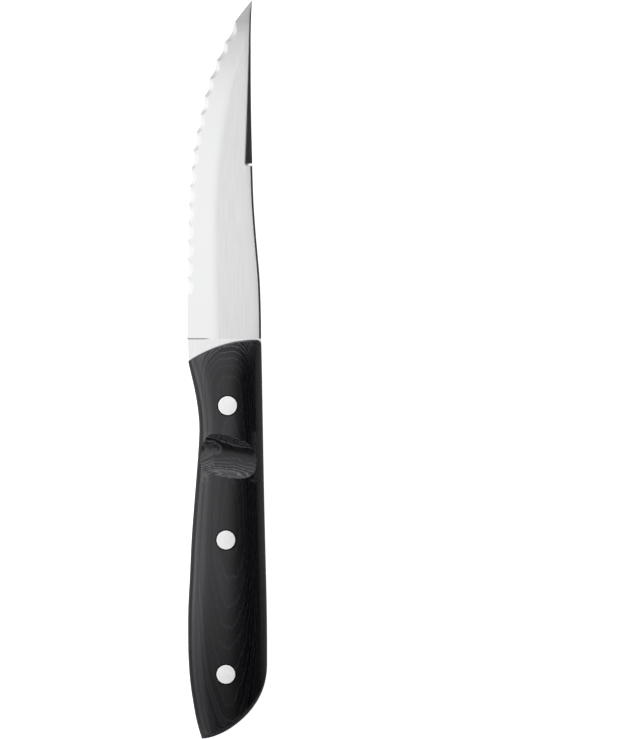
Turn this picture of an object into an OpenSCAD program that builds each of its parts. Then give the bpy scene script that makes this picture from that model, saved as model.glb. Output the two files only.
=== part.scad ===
/* [Blade] */
// Length of the blade, from the front of the handle to the point
blade_l = 108; // [80:1:140]
// Width of the blade at the heel, from the edge to the spine
blade_w = 23.6; // [18:0.1:30]
// Thickness of the steel at the tang and the heel
stock_t = 2.3; // [1.6:0.1:3]
// Thickness left at the cutting edge, before the teeth are ground
edge_t = 0.3; // [0.2:0.05:0.5]
// Width of the ground bevel above the edge
bevel_w = 9.2; // [6:0.1:12]
// How much wider the bevel gets towards the heel
bevel_flare = 0.9; // [0.2:0.1:2]
// How far the spine drops from the heel to the front half
spine_drop = 3.3; // [1:0.1:5]
// Width of the rounded corner along the spine
spine_round = 0.65; // [0.3:0.05:1]
// Width of the blunt flat that is left at the very point
point_w = 0.3; // [0.2:0.05:0.6]
// Gap between the handle and the step where the bevel starts
plunge_gap = 0.3; // [0.1:0.1:2]

/* [False edge on the spine] */
// Length of the false edge, measured back from the point
false_edge_l = 52.8; // [30:0.1:60]
// Width of the false edge where it starts
false_edge_w = 2.2; // [1:0.1:3]
// Width of the false edge at the point
false_edge_tip_w = 0.4; // [0.2:0.05:0.8]
// Slope of the false edge against the side of the blade, in degrees
false_edge_angle = 18; // [10:1:22]
// Length of the step where the false edge starts
false_edge_run = 0.5; // [0.2:0.1:1]

/* [Serrations] */
// Distance from one tooth to the next, along the knife
tooth_pitch = 5.76; // [4:0.01:9]
// Plain edge between the handle and the first tooth
plain_heel_l = 14.2; // [8:0.1:24]
// Least plain edge between the last tooth and the point
plain_tip_l = 7; // [5:0.1:12]
// Length over which the last scallop at each end runs out
scallop_fade = 1; // [0.5:0.1:2]
// Radius of the wheel that grinds the scallops
wheel_r = 15; // [12:0.5:25]
// Slope of the ground scallops against the side of the blade, in degrees
wheel_angle = 22; // [18:1:30]

/* [Handle] */
// Length of the handle
handle_l = 127; // [110:1:140]
// Thickness of each scale at its flat middle
scale_t = 6.5; // [5:0.1:8]
// How far the waist of the handle lies in from the line of the edge
waist_in = 3.9; // [1:0.1:5]
// How far the back of the handle flares out past the blade
back_flare = 1.9; // [0.5:0.1:4]
// Height of the upright wall of a scale beside the tang
side_wall = 1.2; // [0.5:0.1:2]
// How far the front edge of a scale sweeps back to the cutting side
front_sweep = 6.85; // [3:0.05:10]
// Radius of the front corner of a scale, at the spine
front_corner_r = 1.5; // [0.8:0.1:3]
// Width of the chamfer along the front edge of a scale
front_chamfer = 0.45; // [0.2:0.05:0.8]
// How much thinner a scale is at its front edge
nose_drop = 1.2; // [0.2:0.1:2]
// Length over which the front of a scale thins
nose_l = 14; // [10:0.5:16]
// How far the slanted butt sweeps forward to the back of the handle
butt_sweep = 24; // [16:0.5:30]
// Width of the rounding round the butt
butt_round = 1.9; // [1:0.1:3]
// Height of the rounding round the butt
butt_fall = 2.4; // [1:0.1:3]

/* [Thumb scoop] */
// Distance from the front of the handle to the middle of the scoop
scoop_y = 37.4; // [36:0.1:44]
// Radius of the scoop along the handle
scoop_r = 12.5; // [10:0.5:20]
// Depth of the scoop below the flat of the scale
scoop_depth = 1.85; // [1:0.05:2.4]
// Turn of the scoop seen from above, in degrees
scoop_turn = 11; // [0:1:20]
// Tilt of the scoop down to the cutting side, in degrees
scoop_tilt = 2.5; // [0:0.5:5]
// Distance from the middle of the scoop to the crease where its side runs down
scoop_crease = 5.6; // [3:0.1:7]
// Tilt of the side of the scoop, in degrees
scoop_side_tilt = 10; // [6:1:14]
// Turn of the side of the scoop seen from above, in degrees
scoop_side_turn = -4; // [-10:1:10]

/* [Rivets] */
// Diameter of a rivet head
rivet_head_d = 6; // [5:0.1:6.8]
// Thickness of a rivet head
rivet_head_t = 1.6; // [1:0.1:2]
// Outer diameter of the hollow rivet half
rivet_tube_d = 4; // [3.6:0.1:4.6]
// Diameter of the pin that is pressed into the hollow half
rivet_pin_d = 2.6; // [2:0.1:3]
// Distance from the front of the handle to the first rivet
rivet_first = 21; // [18:0.1:23]
// Distance from the last rivet to the butt, along the knife
rivet_last = 20.6; // [18:0.1:24]
// How far the rivets sit off the middle, towards the cutting side
rivet_off = 0.65; // [0:0.05:0.8]
// Clearance round the rivets in the scales
rivet_clear = 0.05; // [0.03:0.01:0.1]
// Clearance round the rivets in the tang
tang_clear = 0.1; // [0.05:0.01:0.3]
// Clearance round the pin in the hollow half
pin_clear = 0.02; // [0.01:0.01:0.04]
// Gap at the ends of the two rivet halves
rivet_end_gap = 0.3; // [0.1:0.1:0.6]

/* [Hidden] */

// Overrun of a cutter past the faces that it cuts
overrun = 1;
round_fn = 96;

half_t = stock_t / 2;
half_edge_t = edge_t / 2;
knife_t = stock_t + 2 * scale_t;

// Spine: share of the blade length, share of the drop
spine_shares = [
    [0, 0], [0.07, 0.02], [0.16, 0.11], [0.21, 0.22], [0.31, 0.51], [0.4, 0.72],
    [0.5, 0.84], [0.7, 0.98], [0.85, 1], [0.93, 0.98], [1, 0.88]
];
// Edge: share of the blade length, share of the height of the point
edge_shares = [
    [0, 0], [0.24, 0], [0.35, 0.01], [0.45, 0.035], [0.56, 0.095], [0.67, 0.205],
    [0.78, 0.36], [0.88, 0.58], [0.935, 0.735], [1, 1]
];
// Cutting side of the handle: share of the handle length, share of the waist
belly_shares = [
    [0, 0.05], [0.054, 0.1], [0.08, 0.28], [0.12, 0.58], [0.16, 0.82], [0.2, 0.97], [0.23, 1],
    [0.27, 0.94], [0.34, 0.77], [0.42, 0.56], [0.5, 0.37], [0.6, 0.22], [0.67, 0.1],
    [0.74, 0.08], [0.8, 0.12], [0.86, 0.27], [0.92, 0.56], [0.96, 0.82], [1, 1.2]
];
// Back of the handle: share of the handle length, share of the flare
back_shares = [
    [0, 0], [0.03, 0.07], [0.18, 0.25], [0.38, 0.49], [0.5, 0.67], [0.66, 0.93], [0.75, 1], [1, 1]
];
// Share of the blade width that the bevel can take, and how softly it nears that
bevel_share = 0.85;
bevel_power = 3;
// Share of the local width that the spine corner can take
corner_share = 0.14;
// Share of the scale's half width that is flat
land_share = 0.36;
// Where the front edge of a scale runs square, as a share of its width
front_flat_share = 0.93;
// Roundness of the scale's shoulders and of its butt
shoulder_powers = [2.3, 2];
butt_powers = [1.6, 2.3];
// Fall of the round spine corner, and of its middle, as shares of its width and its fall
corner_fall_share = 0.6;
corner_mid_share = 0.3;
// Share of the bevel that a scallop can take
rim_share = 0.6;

// Distance from one rivet to the next
rivet_pitch = (handle_l - rivet_first - rivet_last) / 2;

heel_rows = 5;
tooth_rows = 8;
tip_rows = 8;
nose_rows = 5;
scale_rows = 28;
butt_rows = 5;
land_columns = 4;
shoulder_columns = 8;

// Smooth curve through a list of points, read at u
function steps(p, u, i = 0) = i < len(p) - 2 && u > p[i + 1][0] ? steps(p, u, i + 1) : i;
function slope(p, i) =
    let (a = p[max(i - 1, 0)], b = p[min(i + 1, len(p) - 1)])
    (b[1] - a[1]) / (b[0] - a[0]);
function curve(p, u) =
    let (i = steps(p, u), h = p[i + 1][0] - p[i][0], t = (u - p[i][0]) / h)
    p[i][1] * (1 + 2 * t) * (1 - t) ^ 2 + p[i + 1][1] * (3 - 2 * t) * t ^ 2
    + h * slope(p, i) * t * (1 - t) ^ 2 - h * slope(p, i + 1) * (1 - t) * t ^ 2;

// Quarter of a rounded box: 1 at zero, 0 at one
function lame(u, powers) = max(0, 1 - u ^ powers[0]) ^ (1 / powers[1]);

// Blade outline: x runs from the edge to the spine, y from the handle to the point
function spine_x(y) = blade_w - spine_drop * curve(spine_shares, y / blade_l);
point_x = spine_x(blade_l) - point_w;
function edge_x(y) = point_x * curve(edge_shares, y / blade_l);
function width(y) = spine_x(y) - edge_x(y);

// Width of the bevel, which shrinks where the blade gets narrow, and where it ends
function bevel_at(y) =
    (bevel_w ^ -bevel_power + (bevel_share * width(y)) ^ -bevel_power) ^ (-1 / bevel_power);
function bevel_x(y) = edge_x(y) + bevel_at(y) + bevel_flare * (1 - y / blade_l) ^ bevel_power;

// Half thickness of the flat above the bevel
function flat_z(y) = half_edge_t + (half_t - half_edge_t) * bevel_at(y) / bevel_at(plunge_gap);

// Height of the bevel over the middle plane at a point of the plan
function bevel_z(p) =
    half_edge_t + (flat_z(p.y) - half_edge_t) * (p.x - edge_x(p.y)) / (bevel_x(p.y) - edge_x(p.y));

// Teeth stand on the edge at equal steps along the knife
tooth_count = floor((blade_l - plain_heel_l - plain_tip_l) / tooth_pitch);
last_tooth_y = plain_heel_l + tooth_count * tooth_pitch;
function tooth(k) = let (y = plain_heel_l + k * tooth_pitch) [edge_x(y), y];

// Direction from the edge into the blade, square to the edge
function edge_normal(y) =
    let (step = tooth_pitch / tooth_rows, along = [edge_x(y + step) - edge_x(y - step), 2 * step])
    [along.y, -along.x] / norm(along);

// The scallops are ground from the front by a wheel that lies on two teeth at a time.
// Gives the sharp edge on the back face and the rim of the scallop on the front face.
function ground_edge(y) =
    let (past = max(plain_heel_l - y, y - last_tooth_y, 0))
    let (u = (y - plain_heel_l) / tooth_pitch, k = min(floor(u), tooth_count - 1))
    let (a = tooth(k), b = tooth(k + 1), half = norm(b - a) / 2, off = half * (2 * (u - k) - 1))
    let (sink = past > 0 ? 0 : sqrt(wheel_r ^ 2 - off ^ 2) - sqrt(wheel_r ^ 2 - half ^ 2))
    let (drop = sink / cos(wheel_angle), rise = (flat_z(y) - half_edge_t) / bevel_at(y))
    let (fade = max(0, 1 - past / scallop_fade))
    let (rim = fade * (edge_t + drop) / (tan(wheel_angle) - rise))
    let (base = past > 0 ? [edge_x(y), y] : a + (b - a) * (u - k))
    let (back = base + edge_normal(y) * drop / (tan(wheel_angle) + rise))
    let (front = base + edge_normal(y) * min(rim, rim_share * bevel_at(y)))
    [[back.x, back.y, -bevel_z(back)], [front.x, front.y, bevel_z(front)]];

// Section of the spine corner, from the flat of the blade to the middle of the spine.
// The false edge is a plain slope, and the corner behind it is round.
false_edge_y = blade_l - false_edge_l;
function false_edge_at(y) =
    false_edge_tip_w + (false_edge_w - false_edge_tip_w) * ((blade_l - y) / false_edge_l) ^ 2;
function spine_section(y) =
    let (ground = y > false_edge_y)
    let (w = min(ground ? false_edge_at(y) : spine_round, corner_share * width(y)))
    let (fall = w * (ground ? tan(false_edge_angle) : corner_fall_share))
    let (mid = fall * (ground ? 0.5 : corner_mid_share))
    let (x = spine_x(y), z = flat_z(y))
    [[x - w, z], [x - w / 2, z - mid], [x, z - fall]];

// Ring round the blade: the ground edge, the upper side, the spine and the lower side
function ring(y) =
    let (edge = ground_edge(y))
    let (upper = [for (p = concat([[bevel_x(y), flat_z(y)]], spine_section(y))) [p[0], y, p[1]]])
    concat(edge, upper, [for (i = [len(upper) - 1:-1:0]) [upper[i].x, y, -upper[i].z]]);

// Solid through a row of rings, each with the same number of points
module loft(rings) {
    n = len(rings[0]);
    last = (len(rings) - 1) * n;
    sides = [
        for (r = [0:len(rings) - 2], i = [0:n - 1])
            let (a = r * n + i, b = r * n + (i + 1) % n)
            each [[a, b + n, b], [a, a + n, b + n]]
    ];
    caps = [[for (i = [0:n - 1]) i], [for (i = [n - 1:-1:0]) last + i]];
    polyhedron([for (r = rings) each r], concat(sides, caps));
}

// The blade with its bevels, false edge and teeth, from inside the tang plate to the point
module ground_blade() {
    start = plunge_gap / 2;
    heel_l = plain_heel_l - scallop_fade - start;
    tip_y = last_tooth_y + scallop_fade;
    heel = [for (i = [0:heel_rows]) start + heel_l * i / heel_rows];
    teeth = [for (i = [0:tooth_count * tooth_rows]) plain_heel_l + tooth_pitch * i / tooth_rows];
    tip = [for (i = [0:tip_rows]) tip_y + (blade_l - tip_y) * sin(90 * i / tip_rows)];
    plain = concat(heel, teeth, tip);
    step = false_edge_y + false_edge_run;
    stations = concat(
        [for (y = plain) if (y < false_edge_y - false_edge_run / 4) y],
        [false_edge_y, step],
        [for (y = plain) if (y > step + false_edge_run / 4) y]
    );
    loft([for (y = stations) ring(y)]);
}

// Handle outline, read at y, which is negative behind the front of the handle
function belly_x(y) = waist_in * curve(belly_shares, -y / handle_l);
function back_x(y) = blade_w + back_flare * curve(back_shares, -y / handle_l);

// Front edge and butt of the handle, read at a share c of its width
function front_y(c) =
    let (past = (c - front_flat_share) / (1 - front_flat_share))
    c < front_flat_share
        ? -front_sweep * (1 - c / front_flat_share) ^ 2
        : -front_corner_r * (1 - sqrt(1 - past ^ 2));
function butt_y(c) = -handle_l + butt_sweep * (1 - lame(c, butt_powers));

// Point of the handle outline at a share t of its length and a share c of its width
function handle_point(t, c) =
    let (y = front_y(c) + (butt_y(c) - front_y(c)) * t)
    [belly_x(y) + (back_x(y) - belly_x(y)) * c, y];

// Rows of a scale, from its front edge to its butt, as shares of the length
body_l = handle_l - nose_l - butt_round;
row_shares = [
    0,
    each [for (i = [0:nose_rows]) (front_chamfer + (nose_l - front_chamfer) * i / nose_rows) / handle_l],
    each [for (i = [1:scale_rows]) (nose_l + body_l * i / scale_rows) / handle_l],
    each [for (i = [1:butt_rows]) 1 - butt_round * (1 - sin(90 * i / butt_rows)) / handle_l]
];
// Columns of a scale, from the cutting side to the back, as shares of the half width
shoulder = [
    for (i = [shoulder_columns:-1:1]) land_share + (1 - land_share) * sin(90 * i / shoulder_columns)
];
column_shares = [
    each -shoulder,
    each [for (i = [0:land_columns]) land_share * (2 * i / land_columns - 1)],
    each [for (i = [len(shoulder) - 1:-1:0]) shoulder[i]]
];
rows = len(row_shares);
columns = len(column_shares);
width_shares = [for (s = column_shares) (1 + s) / 2];

// Height of the flat of a scale along a row, and the part of it that a column keeps
function row_z(t) =
    let (front = t * handle_l, back = (1 - t) * handle_l)
    let (nose = nose_drop * max(0, 1 - front / nose_l) ^ 2)
    let (chamfer = max(0, front_chamfer - front))
    let (round = butt_fall * (1 - lame(max(0, 1 - back / butt_round), [2, 2])))
    scale_t - nose - chamfer - round;
function column_share(s) = lame(max(0, (abs(s) - land_share) / (1 - land_share)), shoulder_powers);

function scale_point(r, c) =
    let (p = handle_point(row_shares[r], width_shares[c]))
    [p.x, p.y, side_wall + (row_z(row_shares[r]) - side_wall) * column_share(column_shares[c])];

// Rim of a scale's grid: down the cutting side, along the butt, up the back, along the front
rim = [
    each [for (r = [0:rows - 1]) [r, 0]],
    each [for (c = [1:columns - 1]) [rows - 1, c]],
    each [for (r = [rows - 2:-1:0]) [r, columns - 1]],
    each [for (c = [columns - 2:-1:1]) [0, c]]
];

// One scale, with its flat inner face at z = 0
module scale_body() {
    top = [for (r = [0:rows - 1], c = [0:columns - 1]) scale_point(r, c)];
    foot = [for (g = rim) let (p = scale_point(g[0], g[1])) [p.x, p.y, 0]];
    n = len(top);
    crown = [
        for (r = [0:rows - 2], c = [0:columns - 2])
            let (a = r * columns + c, b = a + columns)
            each [[a, a + 1, b + 1], [a, b + 1, b]]
    ];
    wall = [
        for (i = [0:len(rim) - 1])
            let (j = (i + 1) % len(rim))
            let (a = rim[i][0] * columns + rim[i][1], b = rim[j][0] * columns + rim[j][1])
            each [[a, b, n + j], [a, n + j, n + i]]
    ];
    polyhedron(concat(top, foot), concat(crown, wall, [[for (i = [0:len(rim) - 1]) n + i]]));
}

// Plate of the tang and the heel, with the outline of the scales
module tang_plate() {
    outline = [
        [belly_x(0), plunge_gap],
        each [for (g = rim) if (g[0] > 0) handle_point(row_shares[g[0]], width_shares[g[1]])],
        handle_point(0, 1),
        [blade_w, plunge_gap]
    ];
    translate([0, 0, -half_t]) linear_extrude(stock_t) polygon(outline);
}

function rivet_at(i) =
    let (y = -rivet_first - i * rivet_pitch)
    [(belly_x(y) + back_x(y)) / 2 - rivet_off, y];

module at_rivets() {
    for (i = [0:2]) translate(rivet_at(i)) children();
}

// Moves the knife from its middle plane to the frame: standing on its back scale, centred on its box
module in_frame() {
    translate([-(blade_w + back_flare) / 2, (handle_l - blade_l) / 2, knife_t / 2]) children();
}

module blade() {
    color([0.8, 0.81, 0.83]) in_frame() difference() {
        union() {
            tang_plate();
            ground_blade();
        }
        at_rivets() cylinder(d = rivet_tube_d + 2 * tang_clear, h = knife_t, center = true, $fn = round_fn);
    }
}

// One pass of the wheel that grinds the thumb scoop, its lowest line through the origin
module scoop_pass(tilt) {
    rotate([0, -tilt, 0]) translate([0, 0, scoop_r]) rotate([0, 90, 0])
        cylinder(r = scoop_r, h = 2 * blade_w, center = true, $fn = round_fn);
}

// One scale on the tang, with the seats of the rivets and the thumb scoop
module scale() {
    top = half_t + scale_t;
    mid_x = (belly_x(-scoop_y) + back_x(-scoop_y)) / 2;
    difference() {
        translate([0, 0, half_t]) scale_body();
        at_rivets() {
            cylinder(d = rivet_tube_d + 2 * rivet_clear, h = knife_t, $fn = round_fn);
            translate([0, 0, top - rivet_head_t])
                cylinder(d = rivet_head_d + 2 * rivet_clear, h = rivet_head_t + overrun, $fn = round_fn);
        }
        translate([mid_x, -scoop_y, top - scoop_depth]) rotate([0, 0, -scoop_turn]) {
            scoop_pass(scoop_tilt);
            translate([-scoop_crease, 0, -scoop_crease * tan(scoop_tilt)])
                rotate([0, 0, scoop_turn - scoop_side_turn]) scoop_pass(scoop_side_tilt);
        }
    }
}

module front_scale() {
    color([0.16, 0.16, 0.18]) in_frame() scale();
}

module back_scale() {
    color([0.16, 0.16, 0.18]) in_frame() mirror([0, 0, 1]) scale();
}

// Hollow half of a rivet, with its head flush in the front scale
module rivet_tube(i) {
    head_z = knife_t / 2 - rivet_head_t;
    end_z = rivet_head_t + rivet_end_gap - knife_t / 2;
    color([0.85, 0.85, 0.86]) in_frame() translate(rivet_at(i)) difference() {
        union() {
            translate([0, 0, head_z]) cylinder(d = rivet_head_d, h = rivet_head_t, $fn = round_fn);
            translate([0, 0, end_z]) cylinder(d = rivet_tube_d, h = head_z - end_z, $fn = round_fn);
        }
        translate([0, 0, end_z - overrun])
            cylinder(d = rivet_pin_d + 2 * pin_clear, h = head_z - end_z + overrun, $fn = round_fn);
    }
}

// Solid half of a rivet, with its head flush in the back scale
module rivet_pin(i) {
    length = knife_t - rivet_head_t - rivet_end_gap;
    color([0.85, 0.85, 0.86]) in_frame() translate(rivet_at(i)) translate([0, 0, -knife_t / 2]) {
        cylinder(d = rivet_head_d, h = rivet_head_t, $fn = round_fn);
        cylinder(d = rivet_pin_d, h = length, $fn = round_fn);
    }
}

blade();
front_scale();
back_scale();
rivet_tube(0);  // rivet_tube_1
rivet_tube(1);  // rivet_tube_2
rivet_tube(2);  // rivet_tube_3
rivet_pin(0);  // rivet_pin_1
rivet_pin(1);  // rivet_pin_2
rivet_pin(2);  // rivet_pin_3
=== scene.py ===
import math

import bmesh
import bpy
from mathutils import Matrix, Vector


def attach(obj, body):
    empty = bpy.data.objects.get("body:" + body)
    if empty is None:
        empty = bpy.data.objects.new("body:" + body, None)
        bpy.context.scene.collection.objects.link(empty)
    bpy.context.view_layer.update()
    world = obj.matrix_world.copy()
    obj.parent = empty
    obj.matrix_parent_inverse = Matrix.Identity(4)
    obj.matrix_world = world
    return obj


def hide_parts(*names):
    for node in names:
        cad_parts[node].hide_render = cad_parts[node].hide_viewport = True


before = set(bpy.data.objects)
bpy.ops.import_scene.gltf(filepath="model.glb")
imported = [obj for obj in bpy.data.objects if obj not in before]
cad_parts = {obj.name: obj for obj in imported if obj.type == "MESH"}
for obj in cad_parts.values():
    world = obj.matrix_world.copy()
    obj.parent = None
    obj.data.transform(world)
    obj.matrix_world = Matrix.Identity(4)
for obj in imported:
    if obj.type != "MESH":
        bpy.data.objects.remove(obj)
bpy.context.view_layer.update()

# Sizes are in millimetres and angles in degrees, as in the part's source.
# x runs from the cutting edge to the spine, y from the butt to the point, z out of the front scale.
# The knife is drawn with its zero at the edge's line, the handle's front and the middle of the steel.
MM = 0.001

# Blade
BLADE_L = 108
BLADE_W = 23.6
STOCK_T = 2.3
EDGE_T = 0.3
BEVEL_W = 9.2
BEVEL_FLARE = 0.9
BEVEL_SHARE = 0.85
BEVEL_POWER = 3
SPINE_DROP = 3.3
SPINE_ROUND = 0.65
SPINE_FALL_SHARE = 0.5
SPINE_POWER = 1.25
CORNER_SHARE = 0.14
POINT_W = 0.3
PLUNGE_GAP = 0.3
FALSE_EDGE_L = 52.8
FALSE_EDGE_W = 2.2
FALSE_EDGE_TIP_W = 0.4
FALSE_EDGE_ANGLE = 18
HALF_T = STOCK_T / 2
HALF_EDGE_T = EDGE_T / 2
FALSE_EDGE_Y = BLADE_L - FALSE_EDGE_L
# Share of the blade length, share of the spine's drop
SPINE_SHARES = [
    (0, 0), (0.07, 0.02), (0.16, 0.11), (0.21, 0.22), (0.31, 0.51), (0.4, 0.72),
    (0.5, 0.84), (0.7, 0.98), (0.85, 1), (0.93, 0.98), (1, 0.88),
]
# Share of the blade length, share of the height of the point
EDGE_SHARES = [
    (0, 0), (0.24, 0), (0.35, 0.01), (0.45, 0.035), (0.56, 0.095), (0.67, 0.205),
    (0.78, 0.36), (0.88, 0.58), (0.935, 0.735), (1, 1),
]

# The ground forms, which the source draws as plain creases: how soft each line is, how far the
# bevel's line lies toward the edge, and the share of the false edge that slants fully
GRIND_BLEND = 0.1
GRIND_SHIFT = 0.65
FALSE_EDGE_SHARE = 0.88
FALSE_EDGE_BLEND = 0.4
FALSE_EDGE_RUN = 1.1
ROLL_W = 2.6
ROLL_FALL = 0.035
# Share of its height at which the ground blade runs on into the heel
HEEL_SHARE = 0.8

# Serrations
TOOTH_PITCH = 5.76
PLAIN_HEEL_L = 14.2
PLAIN_TIP_L = 7
SCALLOP_FADE = 1
WHEEL_R = 15
WHEEL_ANGLE = 22
RIM_SHARE = 0.6
TOOTH_COUNT = math.floor((BLADE_L - PLAIN_HEEL_L - PLAIN_TIP_L) / TOOTH_PITCH)
LAST_TOOTH_Y = PLAIN_HEEL_L + TOOTH_COUNT * TOOTH_PITCH

# Handle
HANDLE_L = 127
SCALE_T = 6.5
WAIST_IN = 3.9
BACK_FLARE = 1.9
SIDE_WALL = 1.2
FRONT_SWEEP = 6.85
FRONT_FLAT_SHARE = 0.93
FRONT_CORNER_R = 1.5
FRONT_CHAMFER = 0.45
NOSE_DROP = 1.2
NOSE_L = 14
BUTT_SWEEP = 24
BUTT_ROUND = 1.9
BUTT_FALL = 2.4
LAND_SHARE = 0.36
CROWN = 0.18
SHOULDER_POWERS = (2.3, 2)
BUTT_POWERS = (1.6, 2.3)
BUTT_BAND_POWERS = (1.5, 2)
NOSE_POWER = 2
KNIFE_T = STOCK_T + 2 * SCALE_T
# Share of the handle length, share of the waist
BELLY_SHARES = [
    (0, 0.05), (0.054, 0.1), (0.08, 0.28), (0.12, 0.58), (0.16, 0.82), (0.2, 0.97), (0.23, 1),
    (0.27, 0.94), (0.34, 0.77), (0.42, 0.56), (0.5, 0.37), (0.6, 0.22), (0.67, 0.1),
    (0.74, 0.08), (0.8, 0.12), (0.86, 0.27), (0.92, 0.56), (0.96, 0.82), (1, 1.2),
]
# Share of the handle length, share of the flare
BACK_SHARES = [
    (0, 0), (0.03, 0.07), (0.18, 0.25), (0.38, 0.49), (0.5, 0.67), (0.66, 0.93), (0.75, 1), (1, 1),
]

# Thumb scoop
SCOOP_Y = 37.4
SCOOP_R = 12.5
SCOOP_DEPTH = 1.85
SCOOP_TURN = 11
SCOOP_TILT = 2.5
SCOOP_CREASE = 5.6
SCOOP_SIDE_TILT = 10
SCOOP_SIDE_TURN = -4

# Rivets
RIVET_COUNT = 3
RIVET_HEAD_D = 6
RIVET_HEAD_T = 1.6
RIVET_TUBE_D = 4
RIVET_PIN_D = 2.6
RIVET_FIRST = 21
RIVET_LAST = 20.6
RIVET_OFF = 0.65
RIVET_CLEAR = 0.05
PIN_CLEAR = 0.02
RIVET_END_GAP = 0.3
RIVET_DOME = 0.015
RIVET_RIM = 0.06
SEAT_LIP = 0.12
RIVET_PITCH = (HANDLE_L - RIVET_FIRST - RIVET_LAST) / (RIVET_COUNT - 1)

# Fineness of the meshes
HEEL_ROWS = 12
TOOTH_ROWS = 16
TIP_ROWS = 20
FADE_ROWS = 5
STEP_ROWS = 12
SCALLOP_COLUMNS = 3
SPINE_COLUMNS = 14
SPINE_ZONE = 3
SPINE_ZONE_SHARE = 0.3
FRONT_COLUMNS = 44
BACK_COLUMNS = 24
NOSE_ROWS = 14
BODY_ROWS = 120
BUTT_ROWS = 12
LAND_COLUMNS = 12
SHOULDER_COLUMNS = 20
ROUND_STEPS = 96
SCOOP_STEPS = 512
DOME_STEPS = 6
RIM_STEPS = 5
# Edges that turn by more degrees than this are shaded sharp
BLADE_CREASE = 13
SCALE_CREASE = 25
RIVET_CREASE = 30

# Moves the knife from its own zero to the frame's, centred on its box
TO_FRAME = Vector((-(BLADE_W + BACK_FLARE) / 2, (HANDLE_L - BLADE_L) / 2, KNIFE_T / 2))


def mix(a, b, t):
    return a + (b - a) * t


def clamp(t):
    return min(1, max(0, t))


def smooth_step(t):
    t = clamp(t)
    return t * t * (3 - 2 * t)


def smooth_min(a, b, soft):
    """The lesser of a and b, with the corner between them rounded over the height soft."""
    near = max(soft - abs(a - b), 0) / soft
    return min(a, b) - near * near * soft / 4


def tan(angle):
    return math.tan(math.radians(angle))


def quarter(i, count):
    """Runs from 0 to 1, in ever smaller steps."""
    return math.sin(math.pi / 2 * i / count)


def slope(points, i):
    a = points[max(i - 1, 0)]
    b = points[min(i + 1, len(points) - 1)]
    return (b[1] - a[1]) / (b[0] - a[0])


def curve(points, u):
    """Smooth curve through a list of points, read at u."""
    i = 0
    while i < len(points) - 2 and u > points[i + 1][0]:
        i += 1
    h = points[i + 1][0] - points[i][0]
    t = (u - points[i][0]) / h
    ends = points[i][1] * (1 + 2 * t) * (1 - t) ** 2 + points[i + 1][1] * (3 - 2 * t) * t ** 2
    return ends + h * slope(points, i) * t * (1 - t) ** 2 - h * slope(points, i + 1) * (1 - t) * t ** 2


def lame(u, powers):
    """Quarter of a rounded box: 1 at zero, 0 at one."""
    return max(0, 1 - u ** powers[0]) ** (1 / powers[1])


# Blade outline and its ground faces

def spine_x(y):
    return BLADE_W - SPINE_DROP * curve(SPINE_SHARES, y / BLADE_L)


def edge_x(y):
    return (spine_x(BLADE_L) - POINT_W) * curve(EDGE_SHARES, y / BLADE_L)


def width(y):
    return spine_x(y) - edge_x(y)


def bevel_at(y):
    narrow = BEVEL_SHARE * width(y)
    return (BEVEL_W ** -BEVEL_POWER + narrow ** -BEVEL_POWER) ** (-1 / BEVEL_POWER)


def bevel_x(y):
    return edge_x(y) + bevel_at(y) + BEVEL_FLARE * (1 - y / BLADE_L) ** BEVEL_POWER


def flat_z(y):
    return HALF_EDGE_T + (HALF_T - HALF_EDGE_T) * bevel_at(y) / bevel_at(PLUNGE_GAP)


def false_edge_at(y):
    back = max(0, BLADE_L - y) / FALSE_EDGE_L
    return mix(FALSE_EDGE_TIP_W, FALSE_EDGE_W, back ** 2)


def spine_fall(inward, y):
    """How far the side of the blade has fallen at a distance in from the spine."""
    room = CORNER_SHARE * width(y)
    corner_w = min(SPINE_ROUND, room)
    corner = SPINE_FALL_SHARE * corner_w * max(0, 1 - inward / corner_w) ** SPINE_POWER
    slant_w = FALSE_EDGE_SHARE * min(false_edge_at(y), room)
    slant = -tan(FALSE_EDGE_ANGLE) * smooth_min(inward - slant_w, 0, FALSE_EDGE_BLEND * slant_w)
    roll_w = min(ROLL_W, 2 * room)
    roll = ROLL_FALL * roll_w / ROLL_W * max(0, 1 - inward / roll_w) ** 2
    return roll + mix(corner, slant, smooth_step((y - FALSE_EDGE_Y) / FALSE_EDGE_RUN))


def side_z(x, y):
    """Half thickness of the blade: the bevel, softly blended into the flat, then the spine."""
    rise = flat_z(y) - HALF_EDGE_T
    reach = bevel_x(y) - edge_x(y)
    reach -= GRIND_SHIFT * reach / BEVEL_W
    bevel = HALF_EDGE_T + rise * (x - edge_x(y)) / reach
    soft = GRIND_BLEND * rise / (HALF_T - HALF_EDGE_T)
    return smooth_min(bevel, flat_z(y), soft) - spine_fall(spine_x(y) - x, y)


def tooth(k):
    y = PLAIN_HEEL_L + k * TOOTH_PITCH
    return Vector((edge_x(y), y))


def edge_normal(y):
    """Direction from the edge into the blade, square to the edge."""
    step = TOOTH_PITCH / TOOTH_ROWS
    return Vector((2 * step, edge_x(y - step) - edge_x(y + step))).normalized()


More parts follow.
